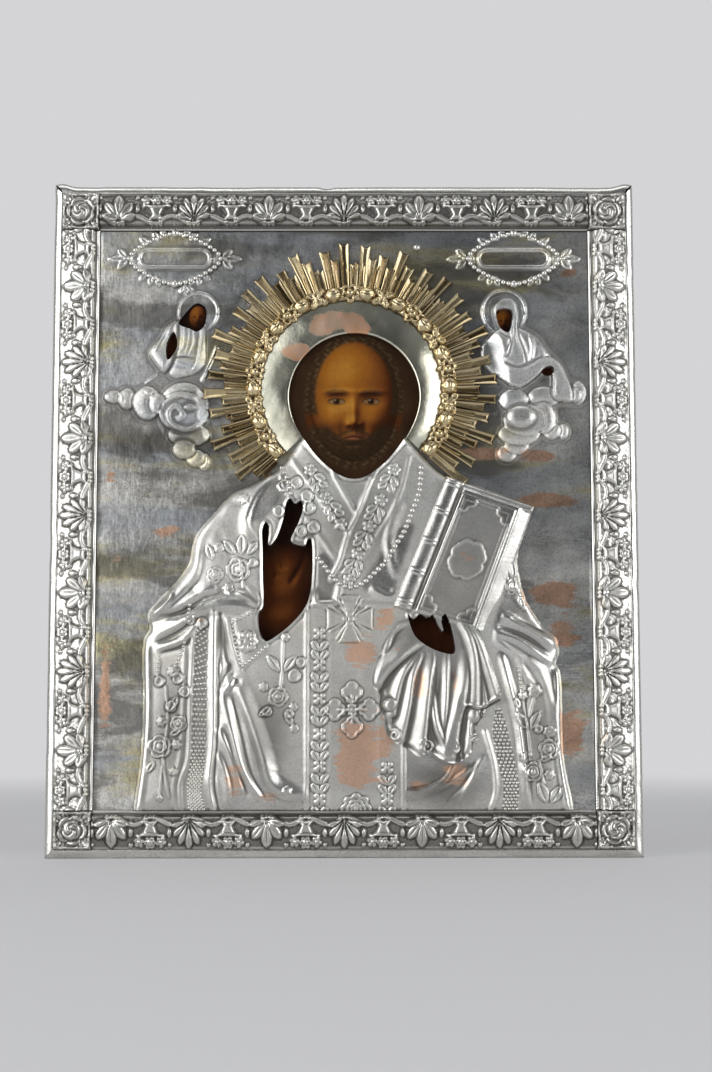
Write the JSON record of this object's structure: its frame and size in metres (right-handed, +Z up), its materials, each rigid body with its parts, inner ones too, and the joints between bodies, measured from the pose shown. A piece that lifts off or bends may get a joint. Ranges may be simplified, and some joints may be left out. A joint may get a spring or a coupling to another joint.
{
  "type": "oklad icon cover",
  "caption": "Raised silver icon cover with gilt rayed halo and ornamented border, nailed over a painted wooden panel with a hanging ring on its back.",
  "frame": {"origin": "under the middle of the whole piece, on the level that its lower edge stands on", "axes": "+X to the right seen from the front, +Y towards the back, +Z up; the raised front faces -Y"},
  "size_m": [0.2724, 0.045, 0.3112],
  "materials": {
    "silver": "silver-plated copper sheet, polished relief on a softly frosted ground, with tarnish and copper showing where the plate is worn",
    "gilt": "pale gilt over silver, bright facets",
    "wood": "old bare wood, darkened",
    "gesso": "chalk and glue ground, matt",
    "painting": "tempera and oil under a brown varnish, satin",
    "iron": "dark forged wire, dull"
  },
  "bodies": {
    "root": {"cover_field": "silver", "border_bottom": "silver", "border_left": "silver", "border_top": "silver", "border_right": "silver", "corner_bottom_left": "silver", "corner_bottom_right": "silver", "corner_top_left": "silver", "corner_top_right": "silver", "rim_bottom": "silver", "rim_left": "silver", "rim_top": "silver", "rim_right": "silver", "halo_plate": "gilt", "halo_garland": "gilt", "halo_rays": "gilt", "halo_nail_1": "gilt", "halo_nail_2": "gilt", "halo_nail_3": "gilt", "halo_nail_4": "gilt", "field_nail": "silver", "left_edge_nail_1": "silver", "left_edge_nail_2": "silver", "left_edge_nail_3": "silver", "left_edge_nail_4": "silver", "right_edge_nail_1": "silver", "right_edge_nail_2": "silver", "right_edge_nail_3": "silver", "right_edge_nail_4": "silver", "top_edge_nail_1": "silver", "top_edge_nail_2": "silver", "top_edge_nail_3": "silver", "plank_left": "wood", "plank_centre": "wood", "plank_right": "wood", "spline_lower": "wood", "spline_upper": "wood", "gesso_ground": "gesso", "painted_panel": "painting", "ring_staple": "iron"},
    "ring": {"hanging_ring": "iron"}
  },
  "joints": [
    {"name": "ring_swing", "type": "hinge", "parent": "root", "child": "ring", "pos_m": [0, 0.01914, 0.288], "axis": [1, 0, 0], "range_deg": [0, 180]}
  ]
}
